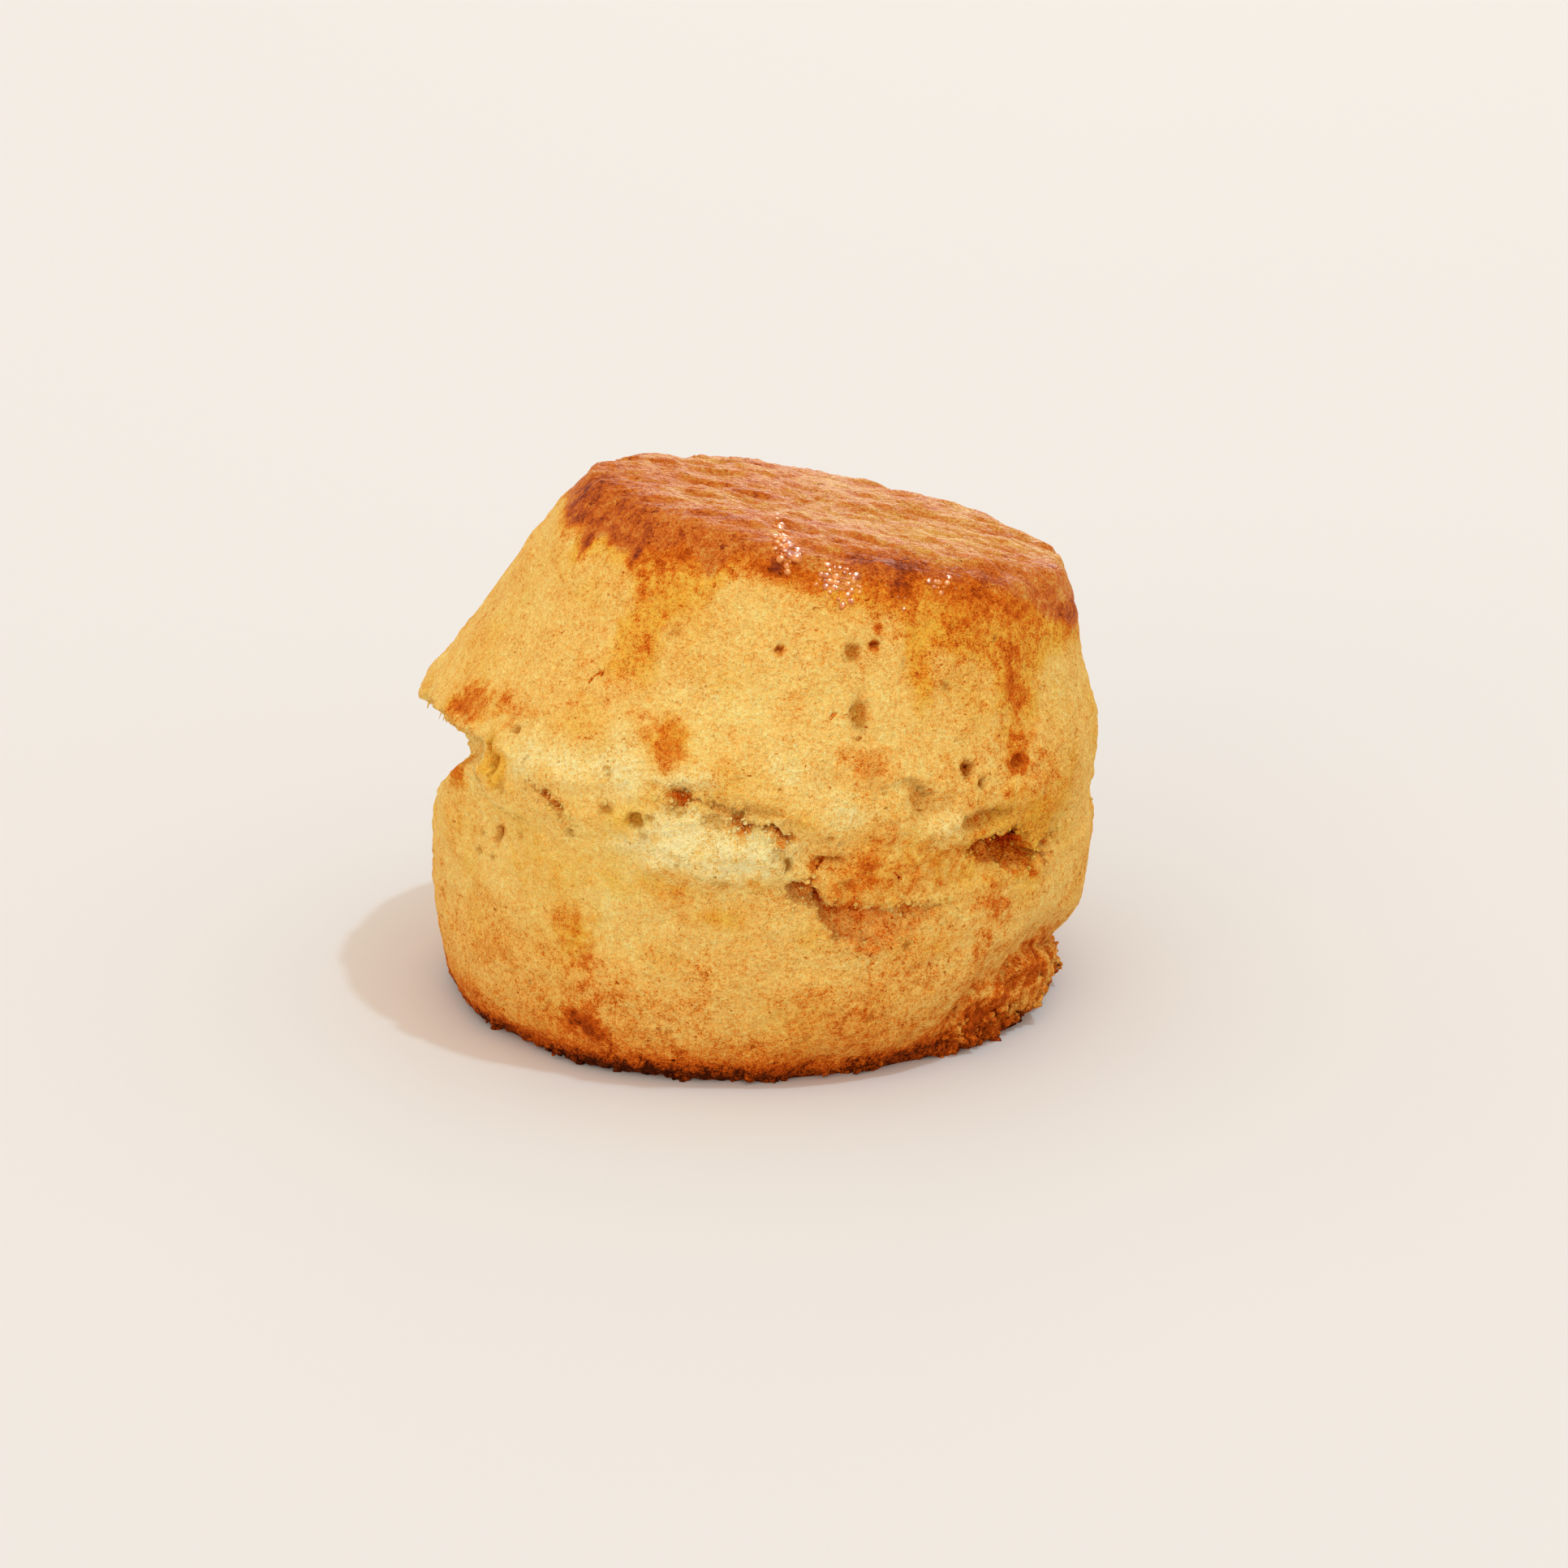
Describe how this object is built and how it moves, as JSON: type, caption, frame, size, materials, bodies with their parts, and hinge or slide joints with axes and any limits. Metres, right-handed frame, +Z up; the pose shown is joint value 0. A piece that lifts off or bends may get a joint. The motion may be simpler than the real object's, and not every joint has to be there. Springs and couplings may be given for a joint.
{
  "type": "scone",
  "caption": "Round baked scone, plain cylinder form on a flat sole, with a tilted glazed top and a torn, gaping waist.",
  "frame": {"origin": "middle of the flat sole that the scone stands on", "axes": "+Z up from the sole; -Y towards the front, where the tear shows; +X to the right, the side the top tilts down to; the tear gapes widest at -X"},
  "size_m": [0.0651, 0.0646, 0.0506],
  "materials": {
    "baked_crust": "baked scone dough: matt golden yellow sides, pale crumb in the tear, browned foot and a red-brown egg-washed top with a soft gloss"
  },
  "bodies": {
    "root": {"scone": "baked_crust"}
  },
  "joints": []
}
